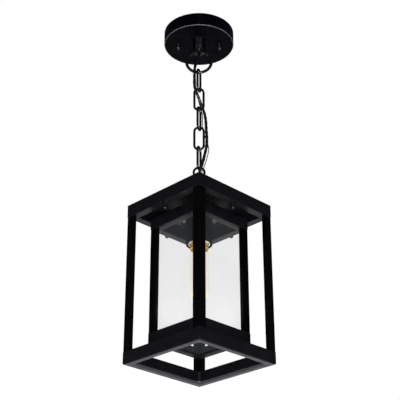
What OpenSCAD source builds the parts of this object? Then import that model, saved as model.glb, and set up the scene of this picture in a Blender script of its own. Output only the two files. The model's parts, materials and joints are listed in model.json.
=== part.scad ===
// Chain-hung box lantern: round canopy, ring, five chain links with a woven lamp
// cord, and an open outer frame around a glazed inner frame with one lamp.
// Millimetres, +Z up. The origin is on the ceiling plane, at the centre of the canopy.

/* [Outer frame] */
// Side of the outer frame, across its rings
cage_w = 170; // [160:1:185]
// Height of the outer frame, roof plate included
cage_h = 277.3; // [270:0.1:320]
// Height of a ring bar of the outer frame
ring_h = 20.5; // [16:0.1:24]
// Width of every ring bar, seen from below
bar_w = 14; // [12:0.1:16]
// Leg of every L-section post
post_leg = 14; // [12:0.1:16]
// Thickness of a post's leg
post_t = 6.5; // [4:0.1:8]
// Thickness of the roof plate
roof_t = 1.8; // [1:0.1:3]

/* [Inner frame] */
// Side of the inner frame, across its rings
inner_w = 114.6; // [110:0.1:120]
// Drop from the roof to the inner frame's ceiling plate
inner_drop = 24.7; // [24:0.1:28]
// Thickness of the ceiling plate
ceiling_t = 1.6; // [1:0.1:3]
// Height of the inner top ring
inner_top_h = 18.9; // [16:0.1:22]
// Height of the inner bottom ring
inner_bottom_h = 17; // [14:0.1:20]
// Drop from the roof to the inner frame's lower edge
inner_bottom_drop = 242.8; // [236:0.1:246]
// Thickness of a glass pane
glass_t = 3; // [2:0.1:4]

/* [Canopy] */
// Diameter of the canopy
canopy_d = 126.5; // [120:0.5:140]
// Height of the canopy
canopy_h = 26; // [24:0.5:32]
// Thickness of the canopy's sheet
canopy_t = 1.2; // [0.8:0.1:2]
// Distance between the canopy's two screws
canopy_screw_gap = 75; // [70:0.5:80]
// Distance between the crossbar's slots, which fits an outlet box
box_slot_gap = 88.9; // [85:0.1:92]

/* [Chain] */
// Outer diameter of the hanging ring
ring_od = 50; // [48:0.5:52]
// Wire diameter of the hanging ring
ring_wire = 5.3; // [5:0.1:5.6]
// Inside length of a chain link
link_in = 40.4; // [40:0.1:41]
// Outer width of a chain link
link_w = 20.5; // [20:0.1:21]
// Wire diameter of a chain link
link_wire = 4.1; // [4:0.1:4.2]
// Outer diameter of the lantern's loop
loop_od = 22.5; // [22:0.1:23]
// Wire diameter of the lantern's loop
loop_wire = 4; // [3.8:0.1:4.2]

/* [Lamp] */
// Outer diameter of the socket cup
cup_d = 43.5; // [42:0.5:46]
// Height of the socket cup
cup_h = 46; // [44:0.5:50]
// Diameter of the tubular glass of the lamp
bulb_d = 31.8; // [30:0.1:33]
// Length of the glass below its collar
bulb_l = 90; // [80:1:100]

/* [Hidden] */
$fn = 64;

// The chain hangs in planes turned from the frame: x runs along the ring, y through it.
chain_turn = 45;
// Angle between the planes of neighbouring links
link_twist = 72;
// Air between two links, so that they never share material
link_gap = 0.25;
weld_gap = 0.12;
// Wall of the hollow bars and posts
sheet_t = 1.2;
post_step = 0.5;
flange_t = 2;
thread_r = 4.9;
bore_r = 4;
thread_play = 0.05;

hub_nut_h = 7;
hub_h = 11;
ring_z = -(canopy_h + hub_nut_h + hub_h + 18);
ring_bottom = ring_z - ring_od / 2 + ring_wire;
link_pitch = link_in - link_gap;
chain_bottom = ring_bottom - 5 * link_pitch;
loop_z = chain_bottom + link_gap + loop_wire - loop_od / 2;
cage_top = loop_z - 64.25;
collar_top = loop_z - 6;
collar_bottom = loop_z - 23.5;
cap_h = 14;
cap_w = 62;

outer_ring_top = cage_top - roof_t;
outer_bottom = cage_top - cage_h;
ceiling_top = cage_top - inner_drop;
inner_ring_top = ceiling_top - ceiling_t;
inner_posts_top = inner_ring_top - inner_top_h;
inner_bottom = cage_top - inner_bottom_drop;
inner_posts_bottom = inner_bottom + inner_bottom_h;
cup_bottom = inner_ring_top - cup_h;
collar_h = 7.7;
bulb_top = cup_bottom - 0.8;
glass_top = bulb_top - collar_h;

// Centreline of the lamp cord, in the chain's planes, from the hub down to the loop
CORD = [[0.6, 0, -38], [0.5, -0.4, -46], [-1.8, -4, -56], [-5.2, -6.8, -68],
        [-7.4, -7.6, -80], [-8, -7, -92], [-8.2, -6, -103], [-8.2, -5.8, -113],
        [-7.2, -6.3, -121], [-4.2, -5.4, -131], [0, -1, -141], [3.8, 4, -150],
        [7.4, 7, -159], [10.2, 7.2, -169], [11.8, 6.6, -181], [12.4, 5.4, -193],
        [12.8, 3.6, -204], [13.4, 2.2, -214], [13.6, 1.2, -223], [13.4, 0, -232],
        [12.6, -1.6, -241], [10.6, -3, -252], [8.6, -4.6, -262], [6.6, -6.2, -272],
        [4.2, -6.9, -281], [1.8, -5.6, -289], [-0.5, -1, -296.2], [-0.6, 0, -305],
        [-0.6, 0, -345], [-0.6, 0, -386]];
// Centreline of the bare ground wire beside it
GROUND = [[-2.9, 0, -38], [-3.1, 0.4, -46], [-4.8, 2.2, -56], [-6.6, 5, -68],
          [-7, 6.4, -80], [-6.4, 5, -92], [-6, 2.4, -103], [-5.8, 3, -113],
          [-4.4, 6, -121], [-2.6, 7.4, -131], [-0.6, 7.8, -141], [1.8, 8.8, -151],
          [4.2, 9.4, -160], [5.9, 8.8, -169], [6.2, 7.4, -181], [6.4, 7, -193],
          [8, 6.5, -204], [10.4, 6.2, -214], [13, 5.8, -223], [15.4, 4.6, -232],
          [16.8, 3, -241], [15.6, 0.4, -252], [13.6, -1.8, -262], [11.2, -3.4, -272],
          [8.6, -4.4, -281], [6, -4.2, -289], [3.1, -1.2, -296.2], [2.9, 0, -305],
          [2.9, 0, -359.2], [3.5, 0.2, -361.4], [6.6, 0.6, -364.4], [10.4, 2.6, -367],
          [9.4, 9.6, -369.5], [1, 13.6, -371.6], [-12, 13.2, -374], [-24, 11.6, -376.4],
          [-31.2, 10.9, -377.2]];
// Route point where each of the six lengths of cord starts
CORD_CUTS = [0, 6, 10, 14, 18, 22];
cord_r = 2.5;
ground_r = 0.8;

/* ---- shared shapes ---- */

module chain_frame() {
    rotate([0, 0, chain_turn]) children();
}

module four(side) {
    for (i = [0:3]) rotate([0, 0, 90 * i]) translate([0, -side, 0]) children();
}

module tube(r_out, r_in, z_low, z_high) {
    translate([0, 0, z_low]) difference() {
        cylinder(r = r_out, h = z_high - z_low);
        translate([0, 0, -1]) cylinder(r = r_in, h = z_high - z_low + 2);
    }
}

module hex_nut(across, bore, z_low, z_high) {
    translate([0, 0, z_low]) difference() {
        cylinder(r = across / sqrt(3), h = z_high - z_low, $fn = 6);
        translate([0, 0, -1]) cylinder(r = bore, h = z_high - z_low + 2);
    }
}

// A domed nut that hangs below z, on a stud of radius stud
module cap_nut(across, height, stud, z) {
    dome = across * 0.44;
    translate([0, 0, z - height]) difference() {
        union() {
            translate([0, 0, height * 0.55])
                cylinder(r = across / sqrt(3), h = height * 0.45, $fn = 6);
            translate([0, 0, dome]) cylinder(r = dome, h = height * 0.6 - dome);
            translate([0, 0, dome]) sphere(r = dome);
        }
        translate([0, 0, height * 0.35]) cylinder(r = stud + thread_play, h = height);
    }
}

// A pan head on top of its flat side at z, with the shank going down to z_end
module pan_screw(head_r, head_h, r, z, z_end) {
    translate([0, 0, z]) cylinder(r1 = head_r, r2 = head_r * 0.8, h = head_h);
    translate([0, 0, z_end]) cylinder(r = r, h = z - z_end);
}

// Section of a hollow ring bar: x runs inwards from the outer face, y up from the lower edge
module bar_section(h, r_out, r_in) {
    wall = sheet_t + max(r_out, r_in) * 0.3;
    difference() {
        square([bar_w, h]);
        translate([wall, wall]) square([bar_w - 2 * wall, h - 2 * wall]);
        difference() {
            translate([-1, -1]) square([r_out + 1, r_out + 1]);
            translate([r_out, r_out]) circle(r = r_out);
        }
        difference() {
            translate([bar_w - r_in, -1]) square([r_in + 1, r_in + 1]);
            translate([bar_w - r_in, r_in]) circle(r = r_in);
        }
    }
}

// Section of an angle bar: a wall as thick as the posts' legs, and a flange turned inwards
module angle_section(h) {
    square([post_step + post_t, h]);
    square([bar_w, flange_t]);
}

// Four mitred bars, with the hair of a weld line between them
module ring(side, h, z_low, r_out, r_in, angle = false) {
    for (i = [0:3]) rotate([0, 0, 90 * i]) translate([0, 0, z_low]) intersection() {
        translate([-side / 2, -side / 2, 0]) rotate([90, 0, 90])
            linear_extrude(side) {
                if (angle) angle_section(h);
                else bar_section(h, r_out, r_in);
            }
        translate([0, 0, -1]) linear_extrude(h + 2)
            polygon([[-side / 2 + weld_gap, -side / 2], [side / 2 - weld_gap, -side / 2],
                     [0, -weld_gap]]);
    }
}

module l_section(low, leg, t) {
    translate([low, low]) polygon([[0, 0], [leg, 0], [leg, t], [t, t], [t, leg], [0, leg]]);
}

// One hollow post of L section, in the corner number i of a square frame
module post(i, side, z_low, z_high) {
    rotate([0, 0, 90 * (i - 1)]) translate([-side / 2, -side / 2, z_low])
        linear_extrude(z_high - z_low) difference() {
            l_section(0, post_leg, post_t);
            l_section(sheet_t, post_leg - 2 * sheet_t, post_t - 2 * sheet_t);
        }
}

module torus(radius, wire_r) {
    rotate([90, 0, 0]) rotate_extrude($fn = 96) translate([radius, 0]) circle(r = wire_r);
}

function unit(v) = v / norm(v);
function along(path, i) =
    unit(path[min(i + 1, len(path) - 1)] - path[max(i - 1, 0)]);

// A round cord swept along the points first to last of a path that runs mostly down
module sweep(path, first, last, r, sides) {
    count = last - first + 1;
    rings = [for (i = [first:last])
        let (t = along(path, i), u = unit(cross(t, [0, 1, 0])), v = cross(t, u))
        for (j = [0:sides - 1])
            path[i] + r * (cos(360 * j / sides) * u + sin(360 * j / sides) * v)];
    walls = [for (i = [0:count - 2], j = [0:sides - 1])
        let (k = (j + 1) % sides)
        for (face = [[i * sides + j, (i + 1) * sides + j, (i + 1) * sides + k],
                     [i * sides + j, (i + 1) * sides + k, i * sides + k]]) face];
    low = [for (j = [0:sides - 1]) j];
    high = [for (j = [sides - 1:-1:0]) (count - 1) * sides + j];
    polyhedron(points = rings, faces = concat([low], walls, [high]));
}

/* ---- canopy and ceiling fixing ---- */

module dish_section(r, h, corner) {
    translate([0, corner - h]) square([r, h - corner]);
    translate([0, -h]) square([r - corner, corner + 0.001]);
    translate([r - corner, corner - h]) circle(r = corner);
}

module canopy_cover() {
    color("#17161b") difference() {
        rotate_extrude($fn = 128) difference() {
            intersection() {
                dish_section(canopy_d / 2, canopy_h, 3);
                translate([0, -canopy_h]) square([canopy_d, canopy_h]);
            }
            intersection() {
                translate([0, 1]) dish_section(canopy_d / 2 - canopy_t, canopy_h + 1 - canopy_t, 2);
                translate([0, -canopy_h]) square([canopy_d, canopy_h + 2]);
            }
        }
        translate([0, 0, -canopy_h - 1]) cylinder(r = thread_r + 0.2, h = 4);
        chain_frame() for (s = [-1, 1]) translate([s * canopy_screw_gap / 2, 0, -canopy_h - 1])
            cylinder(r = 2.3, h = 4);
    }
}

bar_t = 1.8;
module crossbar(length, width, z_high) {
    translate([-length / 2, -width / 2, z_high - bar_t]) cube([length, width, bar_t]);
}

module crossbar_upper() {
    slot_r = 2.4;
    slot_run = 7.2;
    color("silver") difference() {
        crossbar(108, 18, 0);
        translate([0, 0, -5]) cylinder(r = 4.3, h = 10);
        for (s = [-1, 1]) translate([s * box_slot_gap / 2, 0, -5]) {
            for (e = [-1, 1]) translate([e * slot_run / 2, 0, 0]) cylinder(r = slot_r, h = 10);
            translate([-slot_run / 2, -slot_r, 0]) cube([slot_run, 2 * slot_r, 10]);
        }
    }
}

module crossbar_lower() {
    color("silver") chain_frame() difference() {
        crossbar(92, 16, -bar_t);
        translate([0, 0, -6]) cylinder(r = 4.3, h = 10);
        for (s = [-1, 1]) translate([s * canopy_screw_gap / 2, 0, -6]) cylinder(r = 2.05, h = 10);
        translate([20, 0, -6]) cylinder(r = 1.85, h = 10);
    }
}

module crossbar_rivet() {
    color("silver") {
        tube(4.25, 3, -2 * bar_t, 0);
        tube(6.5, 3, -2 * bar_t - 0.7, -2 * bar_t);
    }
}

module canopy_screws() {
    color("silver") chain_frame() for (s = [-1, 1]) translate([s * canopy_screw_gap / 2, 0, 0])
        pan_screw(3.8, 1.5, 2, -bar_t, -canopy_h - 4);
}

module canopy_cap_nuts() {
    color("#1c1b20") chain_frame() for (s = [-1, 1])
        translate([s * canopy_screw_gap / 2, 0, 0]) cap_nut(8.5, 8.5, 2, -canopy_h);
}

module canopy_ground_screw() {
    color("green") chain_frame() translate([20, 0, 0]) {
        translate([0, 0, -2 * bar_t - 2.6]) cylinder(r = 3.6, h = 2.6, $fn = 6);
        translate([0, 0, -2 * bar_t]) cylinder(r = 1.8, h = 1.8);
    }
}

connector_z = -14.5;
connector_mouth = 20;
connector_turn = [50, 90, 130];
module wire_connectors() {
    color("darkorange") chain_frame() for (a = connector_turn) rotate([0, 0, a])
        translate([connector_mouth, 0, connector_z]) rotate([0, 90, 0]) difference() {
            cylinder(r1 = 5.6, r2 = 3.4, h = 22);
            translate([0, 0, -1]) cylinder(r = 3, h = 13);
        }
}

// Three leads that come up the nipple from the cord and bend into their connectors
module canopy_leads() {
    color("#202020") chain_frame() for (a = connector_turn) {
        d = [cos(a), sin(a), 0];
        e = [0, 0, 1];
        path = [3 * d - 34 * e, 3 * d - 14 * e, 5 * d - 10 * e, 9 * d - 8.6 * e,
                14 * d - 10.4 * e, 20 * d - 14.5 * e, 29 * d - 14.5 * e];
        lead(path, 0.9);
    }
}

// A thin lead swept like the cord, with a side vector that suits a level run
module lead(path, r) {
    sides = 8;
    side = unit(cross(path[len(path) - 1] - path[0], [0, 0, 1]));
    points = [for (i = [0:len(path) - 1])
        let (t = along(path, i), v = unit(cross(t, side)))
        for (j = [0:sides - 1])
            path[i] + r * (cos(360 * j / sides) * side + sin(360 * j / sides) * v)];
    walls = [for (i = [0:len(path) - 2], j = [0:sides - 1])
        let (k = (j + 1) % sides)
        for (face = [[i * sides + j, (i + 1) * sides + j, (i + 1) * sides + k],
                     [i * sides + j, (i + 1) * sides + k, i * sides + k]]) face];
    low = [for (j = [0:sides - 1]) j];
    high = [for (j = [sides - 1:-1:0]) (len(path) - 1) * sides + j];
    polyhedron(points = points, faces = concat([low], walls, [high]));
}

nipple_low = -canopy_h - hub_nut_h - 6;
module canopy_nipple() {
    color("silver") tube(thread_r, bore_r, nipple_low, -17);
}

module canopy_locknut() {
    color("silver") hex_nut(16, thread_r + thread_play, canopy_t - canopy_h, canopy_t - canopy_h + 3.4);
}

module hub_nut() {
    color("#17161b") chain_frame()
        hex_nut(20, thread_r + thread_play, -canopy_h - hub_nut_h, -canopy_h);
}

module hanging_ring() {
    hub_top = -canopy_h - hub_nut_h;
    color("#17161b") chain_frame() difference() {
        union() {
            translate([0, 0, ring_z]) torus((ring_od - ring_wire) / 2, ring_wire / 2);
            translate([0, 0, hub_top - 6.5]) cylinder(r = 20 / sqrt(3), h = 6.5, $fn = 6);
            translate([0, 0, hub_top - hub_h]) cylinder(r = 8, h = hub_h - 6);
        }
        translate([0, 0, nipple_low]) cylinder(r = thread_r + thread_play, h = 20);
        translate([0, 0, hub_top - hub_h - 1]) cylinder(r = bore_r, h = hub_h + 2);
    }
}

/* ---- chain and cord ---- */

// A link made of two half rings and two straight limbs
module chain_link(number) {
    wire_r = link_wire / 2;
    half = (link_w - link_wire) / 2;
    top = ring_bottom - (number - 1) * link_pitch + link_gap + wire_r;
    low = top - link_in - link_wire;
    turn = (number % 2 == 1) ? link_twist : 0;
    color("#1a191d") chain_frame() rotate([0, 0, turn]) {
        translate([0, 0, top - half]) rotate([90, 0, 0])
            rotate_extrude(angle = 180) translate([half, 0]) circle(r = wire_r);
        translate([0, 0, low + half]) rotate([-90, 0, 0])
            rotate_extrude(angle = 180) translate([half, 0]) circle(r = wire_r);
        for (s = [-1, 1]) translate([s * half, 0, low + half])
            cylinder(r = wire_r, h = top - low - 2 * half);
    }
}

module cord(number) {
    first = CORD_CUTS[number - 1];
    ends = [for (path = [CORD, GROUND]) number == 6 ? len(path) - 1 : CORD_CUTS[number]];
    chain_frame() {
        color("#101014") sweep(CORD, first, ends[0], cord_r, 10);
        color("#a5583a") sweep(GROUND, first, ends[1], ground_r, 8);
    }
}

/* ---- lantern: stem and roof ---- */

module top_loop() {
    color("#17161b") chain_frame() difference() {
        union() {
            translate([0, 0, loop_z]) torus((loop_od - loop_wire) / 2, loop_wire / 2);
            translate([0, 0, collar_bottom]) cylinder(r = 7.5, h = collar_top - collar_bottom);
        }
        translate([0, 0, collar_bottom]) cylinder(r = 4.6, h = 22);
        translate([0, 0, collar_bottom - 1]) cylinder(r = thread_r + thread_play, h = 9);
    }
}

module stem_tube() {
    color("#17161b") tube(6.5, 5.2, cage_top + cap_h, collar_bottom);
}

module top_cap() {
    wall = 1.2;
    color("#17161b") translate([0, 0, cage_top]) difference() {
        translate([-cap_w / 2, -cap_w / 2, 0]) cube([cap_w, cap_w, cap_h]);
        translate([-cap_w / 2 + wall, -cap_w / 2 + wall, -1])
            cube([cap_w - 2 * wall, cap_w - 2 * wall, cap_h + 1 - wall]);
        cylinder(r = 5.2, h = cap_h + 1);
    }
}

nipple_top = collar_bottom + 7.5;
nipple_bottom = inner_ring_top - 9;
ground_outlet_z = cage_top - 10.1;
// Hole in the stem where the ground wire leaves for its screw
module ground_outlet() {
    chain_frame() translate([0, 0, ground_outlet_z]) rotate([0, 90, 8])
        cylinder(r = 3.9, h = 12);
}

module lamp_nipple() {
    color("silver") difference() {
        tube(thread_r, bore_r, nipple_bottom, nipple_top);
        ground_outlet();
    }
}

roof_screw_inset = bar_w / 2;
roof_screw_r = 2.4;
module roof_plate() {
    color("#17161b") difference() {
        translate([-cage_w / 2, -cage_w / 2, cage_top - roof_t]) cube([cage_w, cage_w, roof_t]);
        translate([0, 0, cage_top - 5]) cylinder(r = 5.2, h = 10);
        four(cage_w / 2 - roof_screw_inset) translate([0, 0, cage_top - 5])
            cylinder(r = roof_screw_r + 0.2, h = 10);
        tie_places() translate([0, 0, cage_top - 5]) cylinder(r = tie_r + 0.2, h = 10);
    }
}

module roof_screws() {
    color("#1c1b20") four(cage_w / 2 - roof_screw_inset)
        pan_screw(4.6, 2.6, roof_screw_r, cage_top, outer_ring_top - ring_h - 6);
}

module roof_cap_nuts() {
    color("#1c1b20") four(cage_w / 2 - roof_screw_inset)
        cap_nut(8, 12, roof_screw_r, outer_ring_top - ring_h);
}

module spacer() {
    color("silver") difference() {
        tube(8, 5.2, ceiling_top, cage_top - roof_t);
        ground_outlet();
    }
}

tie_r = 2;
tie_reach = 25.5;
module tie_places() {
    chain_frame() for (s = [-1, 1]) translate([s * tie_reach, 0, 0]) children();
}

module tie_screws() {
    color("silver") tie_places() pan_screw(3.8, 2.2, tie_r, cage_top, inner_ring_top - 5.5);
}

module tie_nuts() {
    color("silver") tie_places() rotate([0, 0, 30]) hex_nut(7, tie_r + thread_play, inner_ring_top - 3.2, inner_ring_top);
}

/* ---- lantern: outer frame ---- */

module outer_top_ring() {
    color("#17161b") difference() {
        ring(cage_w, ring_h, outer_ring_top - ring_h, 0.8, 0.8);
        four(cage_w / 2 - roof_screw_inset) translate([0, 0, outer_ring_top - ring_h - 5])
            cylinder(r = roof_screw_r + 0.2, h = 40);
    }
}

module outer_post(i) {
    color("#17161b") post(i, cage_w - 2 * post_step, outer_bottom + ring_h, outer_ring_top - ring_h);
}

module outer_bottom_ring() {
    color("#17161b") ring(cage_w, ring_h, outer_bottom, 2.5, 5);
}

/* ---- lantern: inner frame and glass ---- */

ground_place = [-34, 10.7];
module ceiling_plate() {
    side = inner_w - 1.2;
    color("#17161b") difference() {
        translate([-side / 2, -side / 2, inner_ring_top]) cube([side, side, ceiling_t]);
        translate([0, 0, inner_ring_top - 5]) cylinder(r = 5.2, h = 10);
        tie_places() translate([0, 0, inner_ring_top - 5]) cylinder(r = tie_r + 0.2, h = 10);
        chain_frame() translate([ground_place[0], ground_place[1], inner_ring_top - 5])
            cylinder(r = 1.85, h = 10);
    }
}

module inner_top_ring() {
    color("#17161b") ring(inner_w, inner_top_h, inner_posts_top, 0.8, 0.8);
}

module inner_post(i) {
    color("#17161b") post(i, inner_w - 2 * post_step, inner_posts_bottom, inner_posts_top);
}

module inner_bottom_ring() {
    color("#17161b") ring(inner_w, inner_bottom_h, inner_bottom, 0, 0, angle = true);
}

glass_inset = inner_w / 2 - post_step - post_t;
module glass_pane(i) {
    play = 0.3;
    width = 2 * (glass_inset - glass_t - play);
    color([0.9, 0.93, 0.93, 0.3]) rotate([0, 0, 90 * (i - 1)])
        translate([-width / 2, -glass_inset + play / 4, inner_bottom + flange_t + 0.1])
            cube([width, glass_t, inner_posts_top - inner_bottom - flange_t - 0.2]);
}

/* ---- lantern: socket ---- */

module lantern_ground_screw() {
    color("#c9a24a") chain_frame() translate([ground_place[0], ground_place[1], inner_ring_top]) {
        translate([0, 0, -2.6]) cylinder(r = 3.4, h = 2.6, $fn = 6);
        cylinder(r = 1.8, h = ceiling_t + 2);
    }
}

module socket_cup() {
    wall = 1;
    color("#17161b") difference() {
        translate([0, 0, cup_bottom]) cylinder(r = cup_d / 2, h = cup_h, $fn = 96);
        translate([0, 0, cup_bottom - 1]) cylinder(r = cup_d / 2 - wall, h = cup_h, $fn = 96);
        translate([0, 0, inner_ring_top - 5]) cylinder(r = 5.2, h = 10);
    }
}

module socket_nut() {
    color("silver") hex_nut(16, thread_r + thread_play, inner_ring_top - 5, inner_ring_top - 1);
}

body_top = inner_ring_top - 6.5;
body_bottom = cup_bottom + 0.6;
body_floor = body_bottom + 27.4;
shell_r = 13.9;
module socket_body() {
    color("white") difference() {
        translate([0, 0, body_bottom]) cylinder(r = 17.9, h = body_top - body_bottom);
        translate([0, 0, body_bottom - 1]) cylinder(r = shell_r + 0.05, h = body_floor - body_bottom + 1);
        translate([0, 0, body_floor - 1]) cylinder(r = 3.4, h = 30);
        translate([0, 0, nipple_bottom]) cylinder(r = thread_r + thread_play, h = 30);
    }
}

module socket_shell() {
    color("#c9a24a") {
        tube(shell_r, shell_r - 0.45, body_bottom + 1.5, body_floor);
        translate([0, 0, body_floor - 1.2]) cylinder(r = shell_r - 0.45, h = 1.2);
    }
}

/* ---- lamp ---- */

screw_r = 13.05;
base_top = body_floor - 1.5;
module bulb_base() {
    color("#c9a24a") {
        tube(screw_r, screw_r - 0.6, bulb_top, base_top - 3.5);
        translate([0, 0, base_top - 3.5]) cylinder(r1 = screw_r, r2 = 5, h = 2.5);
        translate([0, 0, base_top - 1]) cylinder(r = 4.6, h = 1);
        tube(15.2, bulb_d / 2 - 2.2, glass_top, bulb_top);
    }
}

module bulb_outline(r, low, high) {
    difference() {
        union() {
            translate([0, low + r]) square([r, high - low - r]);
            translate([0, low + r]) circle(r = r);
        }
        translate([-2 * r, low - 1]) square([2 * r, high - low + 2]);
    }
}

module bulb_glass() {
    wall = 0.9;
    neck_r = bulb_d / 2 - 2.3;
    low = glass_top - bulb_l;
    color([0.95, 0.85, 0.7, 0.35]) rotate_extrude($fn = 96) difference() {
        union() {
            bulb_outline(bulb_d / 2, low, glass_top - 0.1);
            translate([0, glass_top - 1]) square([neck_r, collar_h + 0.9]);
        }
        bulb_outline(bulb_d / 2 - wall, low + wall, glass_top - 0.1 - wall);
        translate([0, glass_top - 2]) square([neck_r - wall, collar_h + 2]);
    }
}

// The glass mount inside the lamp with four upright filaments around it
module bulb_filament() {
    mount_top = bulb_top - 0.3;
    filament_top = glass_top - 18;
    filament_low = glass_top - 72;
    spread = 6;
    color("#e8c27a") {
        translate([0, 0, glass_top - 4]) cylinder(r = neck_mount_r, h = mount_top - glass_top + 4);
        translate([0, 0, filament_top]) cylinder(r1 = 1.6, r2 = 4, h = glass_top - 4 - filament_top);
        translate([0, 0, filament_low - 2]) cylinder(r = 1.2, h = filament_top - filament_low + 2);
        for (z = [filament_top, filament_low]) translate([0, 0, z - 0.6])
            cylinder(r = spread + 1.6, h = 1.2);
        for (a = [0:90:270]) rotate([0, 0, a]) translate([spread, 0, filament_low])
            cylinder(r = 0.8, h = filament_top - filament_low);
    }
}
neck_mount_r = 5;

canopy_cover();
crossbar_upper();
crossbar_lower();
crossbar_rivet();
canopy_screws();
canopy_cap_nuts();
canopy_ground_screw();
wire_connectors();
canopy_leads();
canopy_nipple();
canopy_locknut();
hub_nut();
hanging_ring();
chain_link(1);  // chain_link_1
chain_link(2);  // chain_link_2
chain_link(3);  // chain_link_3
chain_link(4);  // chain_link_4
chain_link(5);  // chain_link_5
cord(1);  // cord_1
cord(2);  // cord_2
cord(3);  // cord_3
cord(4);  // cord_4
cord(5);  // cord_5
cord(6);  // cord_6
top_loop();
stem_tube();
top_cap();
lamp_nipple();
roof_plate();
roof_screws();
roof_cap_nuts();
spacer();
tie_screws();
tie_nuts();
outer_top_ring();
outer_post(1);  // outer_post_1
outer_post(2);  // outer_post_2
outer_post(3);  // outer_post_3
outer_post(4);  // outer_post_4
outer_bottom_ring();
ceiling_plate();
inner_top_ring();
inner_post(1);  // inner_post_1
inner_post(2);  // inner_post_2
inner_post(3);  // inner_post_3
inner_post(4);  // inner_post_4
inner_bottom_ring();
glass_pane(1);  // glass_pane_1
glass_pane(2);  // glass_pane_2
glass_pane(3);  // glass_pane_3
glass_pane(4);  // glass_pane_4
lantern_ground_screw();
socket_cup();
socket_nut();
socket_body();
socket_shell();
bulb_base();
bulb_glass();
bulb_filament();
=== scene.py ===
"""A chain-hung box lantern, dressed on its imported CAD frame."""
import json
import math

import bmesh
import bpy
import numpy as np
from mathutils import Matrix, Vector


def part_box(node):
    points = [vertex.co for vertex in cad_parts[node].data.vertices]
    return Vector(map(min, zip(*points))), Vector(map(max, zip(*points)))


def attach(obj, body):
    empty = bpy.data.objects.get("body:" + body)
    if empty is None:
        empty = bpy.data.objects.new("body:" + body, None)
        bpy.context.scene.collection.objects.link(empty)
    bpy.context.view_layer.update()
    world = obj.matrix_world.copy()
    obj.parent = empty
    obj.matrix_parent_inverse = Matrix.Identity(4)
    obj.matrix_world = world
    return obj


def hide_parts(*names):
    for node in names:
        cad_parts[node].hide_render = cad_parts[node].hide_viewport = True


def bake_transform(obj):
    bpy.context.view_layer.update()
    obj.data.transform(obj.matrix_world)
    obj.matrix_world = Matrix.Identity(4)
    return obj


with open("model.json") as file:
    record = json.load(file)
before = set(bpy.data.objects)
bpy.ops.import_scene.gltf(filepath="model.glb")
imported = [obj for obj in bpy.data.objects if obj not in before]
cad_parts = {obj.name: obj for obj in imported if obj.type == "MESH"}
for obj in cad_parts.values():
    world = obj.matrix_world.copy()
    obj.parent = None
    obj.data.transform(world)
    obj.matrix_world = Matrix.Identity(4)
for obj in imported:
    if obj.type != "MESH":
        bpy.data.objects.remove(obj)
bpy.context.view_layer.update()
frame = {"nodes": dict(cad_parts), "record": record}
NODES = frame["nodes"]
MM = 0.001
LINKS = range(1, 6)
CORNERS = range(1, 5)
BAR_WIDTH = 14 * MM
# The inner bottom ring is an angle bar: its wall is as thick as the posts' legs and their step
ANGLE_WALL, ANGLE_FLANGE = 7 * MM, 2 * MM
# Outer edge of the bottom ring left black, and the width over which the painted reflection on its
# underside sets in
DARK_RIM, SHEEN_FADE = 2.4 * MM, 0.6 * MM

# The chain hangs in planes turned from the frame: local x along the ring, y through it.
TURN = Matrix.Rotation(math.radians(45), 4, "Z")
LINK_TWIST = math.radians(72)
SHARP_DEG = 35


# ---------- camera and light ----------

def aim_camera():
    """A view from below, square to the lantern's near corner."""
    distance, height = 1.5438, -1.1353
    pitch, turn, roll = (math.radians(a) for a in (27.18, 45 - 0.055, -0.1))
    data = bpy.data.cameras.new("camera")
    data.lens, data.sensor_width = 92.6, 36
    data.clip_start, data.clip_end = 0.05, 60
    camera = bpy.data.objects.new("camera", data)
    bpy.context.scene.collection.objects.link(camera)
    place = TURN @ Vector((0, -distance, height))
    camera.matrix_world = (Matrix.Translation(place) @ Matrix.Rotation(turn, 4, "Z")
                           @ Matrix.Rotation(math.pi / 2 + pitch, 4, "X")
                           @ Matrix.Rotation(roll, 4, "Z"))
    bpy.context.scene.camera = camera


def lamp(name, place, target, size, power, colour=(1, 1, 1)):
    data = bpy.data.lights.new(name, "AREA")
    data.shape, data.size, data.size_y = "RECTANGLE", size[0], size[1]
    data.energy, data.color = power, colour
    light = bpy.data.objects.new(name, data)
    bpy.context.scene.collection.objects.link(light)
    place = TURN @ Vector(place)
    aim = (TURN @ Vector(target)) - place
    facing = aim.to_track_quat("-Z", "Y").to_matrix().to_4x4()
    light.matrix_world = Matrix.Translation(place) @ facing
    light.visible_camera = False


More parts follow.
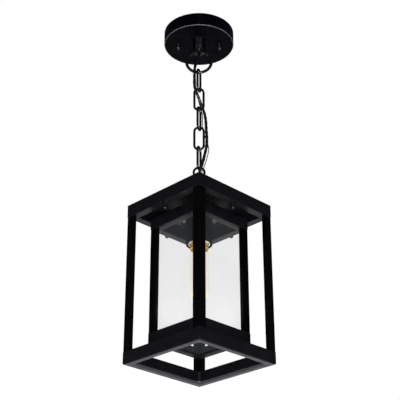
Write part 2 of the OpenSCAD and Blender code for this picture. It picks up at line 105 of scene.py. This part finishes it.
def studio():
    world = bpy.data.worlds.new("studio")
    bpy.context.scene.world = world
    world.use_nodes = True
    tree = world.node_tree
    paper = tree.nodes["Background"]
    paper.inputs["Color"].default_value = (1, 1, 1, 1)
    paper.inputs["Strength"].default_value = 1.0
    room = tree.nodes.new("ShaderNodeBackground")
    room.inputs["Color"].default_value = (0.80, 0.82, 1, 1)
    room.inputs["Strength"].default_value = 0.06
    seen = tree.nodes.new("ShaderNodeLightPath").outputs["Is Camera Ray"]
    either = tree.nodes.new("ShaderNodeMixShader")
    tree.links.new(seen, either.inputs[0])
    tree.links.new(room.outputs["Background"], either.inputs[1])
    tree.links.new(paper.outputs["Background"], either.inputs[2])
    tree.links.new(either.outputs["Shader"], tree.nodes["World Output"].inputs["Surface"])
    bpy.context.scene.view_settings.view_transform = "Standard"
    mesh = bpy.data.meshes.new("floor")
    side, z = 6, -2.2
    mesh.from_pydata([(-side, -side, z), (side, -side, z), (side, side, z), (-side, side, z)],
                     [], [(0, 1, 2, 3)])
    floor = bpy.data.objects.new("floor", mesh)
    bpy.context.scene.collection.objects.link(floor)
    floor.data.materials.append(floor_paint())
    lamp("backdrop", (0, 3.5, -0.85), (0, 0, -0.85), (3.0, 2.2), 14)
    lamp("front_low", (0.1, -1.9, -1.5), (0, 0, -0.05), (0.9, 0.1), 42, (1, 0.97, 1))
    lamp("front_high", (0.1, -1.7, 1.25), (0, 0, -0.04), (0.2, 0.2), 0.12)
    lamp("inner_glow", (0, 0, -0.565), (0, 0, -0.4), (0.06, 0.06), 0.17, (1, 0.93, 0.82))
    lamp("side_left", (-2.2, -0.9, -0.9), (0, 0, -0.1), (0.5, 0.9), 5, (0.92, 0.94, 1))
    lamp("side_right", (2.2, -0.7, -1.0), (0, 0, -0.1), (0.4, 0.9), 4, (1, 0.97, 0.94))


# ---------- materials ----------

def new_material(name, **values):
    """A Principled material whose even values sit on the shader's own sockets."""
    material = bpy.data.materials.new(name)
    material.use_nodes = True
    tree = material.node_tree
    shader = tree.nodes["Principled BSDF"]
    for socket, value in values.items():
        shader.inputs[socket.replace("_", " ")].default_value = value
    place = tree.nodes.new("ShaderNodeTexCoord").outputs["Object"]
    return material, tree, shader, place


def noise(tree, place, scale, detail=4.0, roughness=0.55, stretch=None):
    if stretch is not None:
        mapping = tree.nodes.new("ShaderNodeMapping")
        mapping.inputs["Scale"].default_value = stretch
        tree.links.new(place, mapping.inputs["Vector"])
        place = mapping.outputs["Vector"]
    node = tree.nodes.new("ShaderNodeTexNoise")
    node.inputs["Scale"].default_value = scale
    node.inputs["Detail"].default_value = detail
    node.inputs["Roughness"].default_value = roughness
    tree.links.new(place, node.inputs["Vector"])
    return node.outputs["Fac"]


def ramp(tree, factor, stops):
    node = tree.nodes.new("ShaderNodeValToRGB")
    elements = node.color_ramp.elements
    while len(elements) < len(stops):
        elements.new(0.5)
    for element, (place, colour) in zip(elements, stops):
        element.position = place
        element.color = (*colour, 1)
    tree.links.new(factor, node.inputs["Fac"])
    return node.outputs["Color"]


def spread(tree, factor, low, high):
    """A grey value from low to high as factor goes from 0.3 to 0.7."""
    node = tree.nodes.new("ShaderNodeMapRange")
    for socket, value in (("From Min", 0.3), ("From Max", 0.7), ("To Min", low), ("To Max", high)):
        node.inputs[socket].default_value = value
    tree.links.new(factor, node.inputs["Value"])
    return node.outputs["Result"]


def math_node(tree, operation, *values):
    node = tree.nodes.new("ShaderNodeMath")
    node.operation = operation
    for socket, value in zip(node.inputs, values):
        tree.links.new(value, socket)
    return node.outputs[0]


def between(tree, factor, start, end):
    """0 while factor is short of start, 1 once it's past end."""
    node = tree.nodes.new("ShaderNodeMapRange")
    node.inputs["From Min"].default_value = start
    node.inputs["From Max"].default_value = end
    tree.links.new(factor, node.inputs["Value"])
    return node.outputs["Result"]


def bump(tree, shader, factor, strength, distance):
    node = tree.nodes.new("ShaderNodeBump")
    node.inputs["Strength"].default_value = strength
    node.inputs["Distance"].default_value = distance
    tree.links.new(factor, node.inputs["Height"])
    tree.links.new(node.outputs["Normal"], shader.inputs["Normal"])


def painted(name, dark, light, rough, grain=2600.0, depth=0.00004, coat=0.25, level=0.5):
    material, tree, shader, place = new_material(name, Metallic=0.0, Coat_Weight=coat, Coat_Roughness=0.28,
                                                 Specular_IOR_Level=level)
    wide = noise(tree, place, 22.0, 5.0)
    fine = noise(tree, place, grain, 2.0)
    tree.links.new(ramp(tree, wide, ((0.3, dark), (0.75, light))), shader.inputs["Base Color"])
    tree.links.new(spread(tree, noise(tree, place, 60.0, 6.0), rough - 0.07, rough + 0.08),
                   shader.inputs["Roughness"])
    bump(tree, shader, fine, 0.35, depth)
    return material


def overlaid(material, mask, low, high, grain):
    """Lays a second, clouded colour over a material's paint wherever mask is 1."""
    tree = material.node_tree
    shader = tree.nodes["Principled BSDF"]
    paint = shader.inputs["Base Color"].links[0].from_socket
    place = tree.nodes.new("ShaderNodeTexCoord").outputs["Object"]
    over = ramp(tree, noise(tree, place, grain, 5.0), ((0.3, low), (0.7, high)))
    mix = tree.nodes.new("ShaderNodeMix")
    mix.data_type = "RGBA"
    factor, first, second = (mix.inputs[i] for i in (0, 6, 7))
    tree.links.new(mask, factor)
    tree.links.new(paint, first)
    tree.links.new(over, second)
    tree.links.new(mix.outputs[2], shader.inputs["Base Color"])
    return material


def facing_down(tree):
    """How far a surface's own normal points up: -1 on an underside."""
    split = tree.nodes.new("ShaderNodeSeparateXYZ")
    tree.links.new(tree.nodes.new("ShaderNodeTexCoord").outputs["Normal"], split.inputs[0])
    return split.outputs["Z"]


def painted_underside_sheen(material, sheen, rim):
    """Painted reflection: a lighter grey on the faces that look down, up to rim metres out from the axis,
    standing in for light from below.
    """
    tree = material.node_tree
    at = tree.nodes.new("ShaderNodeSeparateXYZ")
    tree.links.new(tree.nodes.new("ShaderNodeTexCoord").outputs["Object"], at.inputs[0])
    reach = [math_node(tree, "ABSOLUTE", at.outputs[axis]) for axis in "XY"]
    inside = between(tree, math_node(tree, "MAXIMUM", *reach), rim, rim - SHEEN_FADE)
    down = between(tree, facing_down(tree), -0.25, -0.45)
    return overlaid(material, math_node(tree, "MULTIPLY", down, inside), *sheen, 240.0)


def painted_edge_highlight(material, highlight):
    """Painted highlight: a lighter grey along the rounded lower edge, where the surface looks half down
    and catches the front lamp.
    """
    tree = material.node_tree
    z = facing_down(tree)
    band = math_node(tree, "MULTIPLY", between(tree, z, -0.40, -0.55), between(tree, z, -0.93, -0.80))
    return overlaid(material, band, *highlight, 700.0)


def metal(name, dark, light, rough, stretch=(1, 1, 12), scale=160.0):
    material, tree, shader, place = new_material(name, Metallic=1.0)
    streak = noise(tree, place, scale, 4.0, 0.6, stretch)
    tree.links.new(ramp(tree, streak, ((0.25, dark), (0.75, light))), shader.inputs["Base Color"])
    tree.links.new(spread(tree, streak, rough - 0.08, rough + 0.1), shader.inputs["Roughness"])
    bump(tree, shader, streak, 0.25, 0.00003)
    return material


def plastic(name, dark, light, rough, scale=300.0, coat=0.0):
    material, tree, shader, place = new_material(name, Coat_Weight=coat, Coat_Roughness=0.08)
    cloud = noise(tree, place, scale, 4.0)
    tree.links.new(ramp(tree, cloud, ((0.3, dark), (0.7, light))), shader.inputs["Base Color"])
    tree.links.new(spread(tree, cloud, rough - 0.05, rough + 0.06), shader.inputs["Roughness"])
    bump(tree, shader, cloud, 0.15, 0.00003)
    return material


def pane_glass(name, tint, see, rough=0.03, glow=0.0):
    """Clear glass as a thin sheet: mostly see-through, with a gloss and a faint wave, and an orange
    emission as a painted glow where glow is set.
    """
    material, tree, shader, place = new_material(name, Specular_IOR_Level=0.5, IOR=1.5,
                                                 Emission_Color=(1, 0.74, 0.30, 1), Emission_Strength=glow)
    cloud = noise(tree, place, 14.0, 3.0)
    tree.links.new(ramp(tree, cloud, ((0.2, [c * 0.92 for c in tint]), (0.8, tint))),
                   shader.inputs["Base Color"])
    tree.links.new(spread(tree, noise(tree, place, 40.0, 3.0), rough, rough + 0.05),
                   shader.inputs["Roughness"])
    tree.links.new(spread(tree, cloud, see - 0.01, see + 0.01), shader.inputs["Alpha"])
    bump(tree, shader, cloud, 0.1, 0.0002)
    return material


def floor_paint():
    material, tree, shader, place = new_material("floor_paint", Emission_Color=(0.86, 0.86, 0.87, 1))
    cloud = noise(tree, place, 3.0, 3.0)
    tree.links.new(ramp(tree, cloud, ((0.3, (0.66, 0.66, 0.66)), (0.7, (0.7, 0.7, 0.7)))),
                   shader.inputs["Base Color"])
    tree.links.new(spread(tree, cloud, 0.75, 0.85), shader.inputs["Roughness"])
    seen = tree.nodes.new("ShaderNodeLightPath").outputs["Is Camera Ray"]
    tree.links.new(seen, shader.inputs["Emission Strength"])
    return material


INK = ((0.0022, 0.0020, 0.0030), (0.0042, 0.0038, 0.0052))
BLACK = painted("satin_black", *INK, 0.38, level=0.4)
# ring_black: black paint with a painted reflection, a lighter grey underside standing in for light from
# below
RING_BLACK = painted("ring_black", *INK, 0.38, level=0.4)
painted_underside_sheen(RING_BLACK, ((0.060, 0.056, 0.066), (0.085, 0.080, 0.092)),
                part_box("outer_bottom_ring")[1].x - DARK_RIM)
# A darker, duller copy of the black paint: painted shade on the posts and the socket cup
SHADED_BLACK = painted("shaded_black", (0.0005, 0.0005, 0.0007), (0.0012, 0.0011, 0.0015), 0.5,
                     coat=0.0, level=0.1)
CANOPY_BLACK = painted("canopy_black", (0.0012, 0.0009, 0.0022), (0.0024, 0.0018, 0.0040), 0.24,
                       grain=3200.0, coat=0.0, level=0.06)
# Painted highlight along the canopy's rounded lower edge
painted_edge_highlight(CANOPY_BLACK, ((0.10, 0.095, 0.115), (0.19, 0.18, 0.21)))
CHAIN_BLACK = painted("chain_black", (0.0022, 0.0020, 0.0030), (0.0055, 0.0050, 0.0070), 0.2,
                      grain=2000.0, coat=0.6)
ZINC = metal("zinc", (0.48, 0.48, 0.47), (0.74, 0.74, 0.72), 0.32)
BRASS = metal("brass", (0.60, 0.42, 0.16), (0.86, 0.66, 0.30), 0.26)
GREEN = painted("green_screw", (0.03, 0.22, 0.07), (0.05, 0.32, 0.11), 0.3, 900.0)
ORANGE = plastic("connector_plastic", (0.72, 0.25, 0.03), (0.90, 0.36, 0.05), 0.3)
JACKET = plastic("lead_jacket", (0.02, 0.02, 0.022), (0.04, 0.04, 0.044), 0.5)
CORD = plastic("cord_jacket", (0.0035, 0.0038, 0.005), (0.009, 0.0095, 0.012), 0.36, 900.0, 0.15)
COPPER = metal("bare_copper", (0.50, 0.16, 0.07), (0.80, 0.34, 0.18), 0.34, (1, 1, 1), 900.0)
PORCELAIN = plastic("porcelain", (0.80, 0.79, 0.75), (0.90, 0.89, 0.86), 0.2, 60.0, 0.6)
CLEAR = pane_glass("clear_glass", (0.30, 0.33, 0.33), 0.065)
# The bulb glass has a faint orange emission: painted glow
LAMP_GLASS = pane_glass("lamp_glass", (0.90, 0.60, 0.22), 0.06, glow=0.7)
GOLD = plastic("gold_lacquer", (0.88, 0.50, 0.03), (0.98, 0.66, 0.07), 0.3, 300.0, 0.5)
FILAMENT = plastic("filament", (0.80, 0.50, 0.16), (0.96, 0.72, 0.34), 0.4, 900.0)
SLOT_PAINT = {"satin_black": BLACK, "zinc": ZINC, "green_screw": GREEN, "connector_plastic": ORANGE,
              "lead_jacket": JACKET, "cord_jacket": CORD, "clear_glass": CLEAR, "brass": BRASS,
              "porcelain": PORCELAIN, "lamp_glass": LAMP_GLASS, "filament": FILAMENT}
SLOT_OF = {s["node"]: s["material_slot"] for s in frame["record"]["subparts"]}
BODY_OF = {n: body for body, held in frame["record"]["behaviour"]["bodies"].items() for n in held}
# Posts and socket cup take the shaded copy of the black, as painted shade
PAINT_OF = {"canopy_cover": CANOPY_BLACK, "outer_bottom_ring": RING_BLACK, "bulb_base": GOLD,
            "socket_cup": SHADED_BLACK, "hanging_ring": CHAIN_BLACK, "top_loop": CHAIN_BLACK,
            "canopy_cap_nuts": CHAIN_BLACK}
PAINT_OF.update({f"chain_link_{number}": CHAIN_BLACK for number in LINKS})
PAINT_OF.update({f"{cage}_post_{number}": SHADED_BLACK for cage in ("outer", "inner")
                 for number in CORNERS})


def paint_of(node):
    return PAINT_OF.get(node, SLOT_PAINT[SLOT_OF[node]])


def repaint_nodes():
    for name, node in NODES.items():
        for index in range(len(node.data.materials)):
            node.data.materials[index] = paint_of(name)


# ---------- pieces ----------

def add_piece(name, mesh, material, smooth_deg=None):
    piece = bpy.data.objects.new(name, mesh)
    bpy.context.scene.collection.objects.link(piece)
    mesh.materials.clear()
    mesh.materials.append(material)
    if smooth_deg is not None:
        mesh.shade_smooth()
        mesh.set_sharp_from_angle(angle=math.radians(smooth_deg))
    return piece


def softened(node, width, segments=2, paint=None):
    """A copy of a CAD node with its sharp edges rolled over, as folded and ground steel has."""
    mesh = NODES[node].data.copy()
    bm = bmesh.new()
    bm.from_mesh(mesh)
    bmesh.ops.remove_doubles(bm, verts=bm.verts, dist=1e-6)
    bmesh.ops.dissolve_limit(bm, angle_limit=math.radians(1), verts=bm.verts, edges=bm.edges)
    sharp = [e for e in bm.edges if len(e.link_faces) == 2
             and e.calc_face_angle(0) > math.radians(SHARP_DEG)]
    bmesh.ops.bevel(bm, geom=sharp, offset=width, segments=segments, profile=0.5,
                    affect="EDGES", clamp_overlap=True)
    for layer in list(bm.loops.layers.uv):
        bm.loops.layers.uv.remove(layer)
    bm.to_mesh(mesh)
    bm.free()
    if mesh.attributes.get("custom_normal"):
        mesh.attributes.remove(mesh.attributes["custom_normal"])
    piece = add_piece(node + "_soft", mesh, paint or paint_of(node), 30)
    weighted = piece.modifiers.new("weighted", "WEIGHTED_NORMAL")
    weighted.keep_sharp = True
    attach(piece, BODY_OF[node])
    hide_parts(node)
    return piece


def swept(points, radius, sides, closed=False, side=None):
    """Vertices and faces of a round bar along points, on frames that don't twist."""
    points = [np.array(p, float) for p in points]
    count = len(points)
    if closed:
        tangents = [points[(i + 1) % count] - points[i - 1] for i in range(count)]
    else:
        tangents = [points[min(i + 1, count - 1)] - points[max(i - 1, 0)] for i in range(count)]
    tangents = [t / np.linalg.norm(t) for t in tangents]
    normal = np.array(side if side is not None else (0.0, 1.0, 0.0))
    rings = []
    for i in range(count):
        normal = normal - tangents[i] * normal.dot(tangents[i])
        normal = normal / np.linalg.norm(normal)
        across = np.cross(tangents[i], normal)
        r = radius[i] if hasattr(radius, "__len__") else radius
        for j in range(sides):
            angle = 2 * math.pi * j / sides
            rings.append(points[i] + r * (math.cos(angle) * normal + math.sin(angle) * across))
    faces = []
    for i in range(count if closed else count - 1):
        k = (i + 1) % count
        for j in range(sides):
            m = (j + 1) % sides
            faces.append((i * sides + j, i * sides + m, k * sides + m, k * sides + j))
    if not closed:
        faces.append(tuple(range(sides))[::-1])
        faces.append(tuple((count - 1) * sides + j for j in range(sides)))
    return rings, faces


def joined(parts):
    vertices, faces = [], []
    for ring, skin in parts:
        base = len(vertices)
        vertices += [tuple(v) for v in ring]
        faces += [tuple(i + base for i in f) for f in skin]
    return vertices, faces


def mesh_of(name, parts, turn=TURN):
    mesh = bpy.data.meshes.new(name)
    vertices, faces = joined(parts)
    mesh.from_pydata([tuple(turn @ Vector(v)) for v in vertices], [], faces)
    mesh.validate()
    bm = bmesh.new()
    bm.from_mesh(mesh)
    bmesh.ops.recalc_face_normals(bm, faces=bm.faces)
    bm.to_mesh(mesh)
    bm.free()
    return mesh


def rounded_square(half, radius, z, sides=5):
    """A level loop of points round a square with rounded corners."""
    loop = []
    for quarter in range(4):
        corner = quarter * math.pi / 2
        for step in range(sides):
            a = corner + math.pi / 2 * step / (sides - 1)
            x = (half - radius) * (1, -1, -1, 1)[quarter] + radius * math.cos(a)
            y = (half - radius) * (1, 1, -1, -1)[quarter] + radius * math.sin(a)
            loop.append((x, y, z))
    return loop


def bar_profile(width, height, radii, sides=5):
    """Outline of a bar from its outer lower corner round: x inwards, y upwards, radii per corner."""
    corners = ((0, 0, math.pi, 1.5 * math.pi), (width, 0, 1.5 * math.pi, 2 * math.pi),
               (width, height, 0, 0.5 * math.pi), (0, height, 0.5 * math.pi, math.pi))
    outline = []
    for (x, y, start, end), r in zip(corners, radii):
        cx = x + r if x == 0 else x - r
        cy = y + r if y == 0 else y - r
        for step in range(sides):
            a = start + (end - start) * step / (sides - 1)
            outline.append((cx + r * math.cos(a), cy + r * math.sin(a)))
    return outline


def angle_profile(width, height, radii, sides=5):
    """Outline of an angle bar with its flange along the lower edge, in bar_profile's order."""
    outer, inner, wall_inner, wall_outer = radii
    foot = bar_profile(width, ANGLE_FLANGE, (outer, inner, inner, 0), sides)[:-sides]
    return foot + [(ANGLE_WALL, ANGLE_FLANGE), (ANGLE_WALL, height - wall_inner),
                   (ANGLE_WALL - wall_inner, height), (wall_outer, height), (0, height - wall_outer)]


def mitred_ring(node, radii, outer_corner, inner_corner, angle=False):
    """A ring of four bars ground smooth over its mitres, in place of the CAD ring's separate bars."""
    low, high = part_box(node)
    half, height = (high.x - low.x) / 2, high.z - low.z
    profile = angle_profile if angle else bar_profile
    outline = profile(BAR_WIDTH, height, [r * MM for r in radii])
    loops = []
    for x, y in outline:
        corner = (outer_corner + (inner_corner - outer_corner) * x / BAR_WIDTH) * MM
        loops.append(rounded_square(half - x, corner, low.z + y))
    count, points = len(loops), [p for loop in loops for p in loop]
    n = len(loops[0])
    faces = [(i * n + j, i * n + (j + 1) % n, (i + 1) % count * n + (j + 1) % n, (i + 1) % count * n + j)
             for i in range(count) for j in range(n)]
    mesh = mesh_of(node + "_welded", [(points, faces)], Matrix.Identity(4))
    piece = add_piece(mesh.name, mesh, paint_of(node), 40)
    weighted = piece.modifiers.new("weighted", "WEIGHTED_NORMAL")
    weighted.keep_sharp = True
    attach(piece, BODY_OF[node])
    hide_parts(node)


def chain_links():
    """Each link is one bar bent to a stadium, with its weld bead on the right limb."""
    wire, half = 4.1 * MM / 2, 8.2 * MM
    bead_height, bead_length = 0.10 * MM, 0.035
    for number in LINKS:
        node = f"chain_link_{number}"
        low, high = (c.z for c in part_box(node))
        top, bottom = high - wire - half, low + wire + half
        angle = LINK_TWIST if number % 2 else 0.0
        d = np.array((math.cos(angle), math.sin(angle), 0.0))
        path, radii = [], []
        for z0, start in ((top, 0.0), (bottom, math.pi)):
            for step in range(17):
                a = start + math.pi * step / 16
                path.append(d * half * math.cos(a) + np.array((0, 0, z0 + half * math.sin(a))))
                radii.append(wire)
            for step in range(1, 16):
                t = step / 16
                z = top + (bottom - top) * t if start == 0.0 else bottom + (top - bottom) * t
                bead = bead_height * math.exp(-((t - 0.5) / bead_length) ** 2) if start else 0.0
                path.append(d * half * math.cos(start + math.pi) + np.array((0, 0, z)))
                radii.append(wire + bead)
        side = (-d[1], d[0], 0.0)
        piece = add_piece(node + "_bar", mesh_of(node + "_bar", [swept(path, radii, 16, True, side)]),
                          CHAIN_BLACK, 60)
        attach(piece, BODY_OF[node])
        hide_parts(node)


# Centrelines in the chain's planes, in metres
CORD_PATH = [(0.6, 0, -38), (0.5, -0.4, -46), (-1.8, -4, -56), (-5.2, -6.8, -68), (-7.4, -7.6, -80),
             (-8, -7, -92), (-8.2, -6, -103), (-8.2, -5.8, -113), (-7.2, -6.3, -121),
             (-4.2, -5.4, -131), (0, -1, -141), (3.8, 4, -150), (7.4, 7, -159), (10.2, 7.2, -169),
             (11.8, 6.6, -181), (12.4, 5.4, -193), (12.8, 3.6, -204), (13.4, 2.2, -214),
             (13.6, 1.2, -223), (13.4, 0, -232), (12.6, -1.6, -241), (10.6, -3, -252),
             (8.6, -4.6, -262), (6.6, -6.2, -272), (4.2, -6.9, -281), (1.8, -5.6, -289),
             (-0.5, -1, -296.2), (-0.6, 0, -305), (-0.6, 0, -345), (-0.6, 0, -386)]
GROUND_PATH = [(-2.9, 0, -38), (-3.1, 0.4, -46), (-4.8, 2.2, -56), (-6.6, 5, -68), (-7, 6.4, -80),
               (-6.4, 5, -92), (-6, 2.4, -103), (-5.8, 3, -113), (-4.4, 6, -121),
               (-2.6, 7.4, -131), (-0.6, 7.8, -141), (1.8, 8.8, -151), (4.2, 9.4, -160),
               (5.9, 8.8, -169), (6.2, 7.4, -181), (6.4, 7, -193), (8, 6.5, -204),
               (10.4, 6.2, -214), (13, 5.8, -223), (15.4, 4.6, -232), (16.8, 3, -241),
               (15.6, 0.4, -252), (13.6, -1.8, -262), (11.2, -3.4, -272), (8.6, -4.4, -281),
               (6, -4.2, -289), (3.1, -1.2, -296.2), (2.9, 0, -305), (2.9, 0, -359.2),
               (3.5, 0.2, -361.4), (6.6, 0.6, -364.4), (10.4, 2.6, -367), (9.4, 9.6, -369.5),
               (1, 13.6, -371.6), (-12, 13.2, -374), (-24, 11.6, -376.4), (-31.2, 10.9, -377.2)]
CORD_CUTS = [0, 6, 10, 14, 18, 22]
STEPS = 8
CORD_RADIUS, WAIST, CORD_PITCH = 2.75 * MM, 0.16, 22 * MM
WIRE_RADIUS = 0.8 * MM


def smooth_path(path):
    """Catmull-Rom through the route points, STEPS to a span, in metres."""
    p = [np.array(q, float) * MM for q in path]
    p = [2 * p[0] - p[1]] + p + [2 * p[-1] - p[-2]]
    out = []
    for i in range(1, len(p) - 2):
        for step in range(STEPS):
            t = step / STEPS
            a, b, c, d = p[i - 1:i + 3]
            out.append(0.5 * (2 * b + (c - a) * t + (2 * a - 5 * b + 4 * c - d) * t * t
                              + (3 * b - a - 3 * c + d) * t ** 3))
    return out + [p[-2]]


def twin_core(path, radius, waist, pitch, sides=20):
    """A round jacket over two twisted cores: its section has a slight waist that turns along the path."""
    rings, faces = swept(path, radius, sides)
    run, lengths = 0.0, []
    for i, point in enumerate(path):
        run += float(np.linalg.norm(point - path[i - 1])) if i else 0.0
        lengths.append(run)
    for i, point in enumerate(path):
        for j in range(sides):
            angle = 2 * math.pi * j / sides - 2 * math.pi * lengths[i] / pitch
            k = i * sides + j
            rings[k] = point + (rings[k] - point) * (1 - waist * (1 - math.cos(2 * angle)) / 2)
    return rings, faces


def cords():
    """Six lengths of twisted cord and of bare wire."""
    cord, ground = smooth_path(CORD_PATH), smooth_path(GROUND_PATH)
    for number in range(1, 7):
        first = CORD_CUTS[number - 1] * STEPS
        ends = [CORD_CUTS[number] * STEPS if number < 6 else len(p) - 1 for p in (cord, ground)]
        jacket = mesh_of(f"cord_{number}_jacket",
                         [twin_core(cord[first:ends[0] + 1], CORD_RADIUS, WAIST, CORD_PITCH)])
        wire = mesh_of(f"cord_{number}_wire", [swept(ground[first:ends[1] + 1], WIRE_RADIUS, 8)])
        for mesh, material in ((jacket, CORD), (wire, COPPER)):
            piece = add_piece(mesh.name, mesh, material, 60)
            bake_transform(piece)
            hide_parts(f"cord_{number}")


# ---------- build ----------

aim_camera()
studio()
repaint_nodes()
chain_links()
cords()
mitred_ring("outer_top_ring", (0.8, 0.8, 0.6, 0.6), 0.7, 0.7)
mitred_ring("outer_bottom_ring", (1.6, 4, 0.7, 0.7), 0.9, 7)
mitred_ring("inner_top_ring", (0.8, 0.8, 0.6, 0.6), 0.7, 0.7)
mitred_ring("inner_bottom_ring", (0.8, 0.8, 0.5, 0.5), 0.7, 0.7, angle=True)
for number in CORNERS:
    softened(f"outer_post_{number}", 0.5 * MM)
    softened(f"inner_post_{number}", 0.45 * MM)
softened("roof_plate", 0.3 * MM)
softened("top_cap", 1.0 * MM, 3)
softened("ceiling_plate", 0.3 * MM)
softened("hub_nut", 0.6 * MM, 3, paint=CHAIN_BLACK)

bpy.context.view_layer.update()
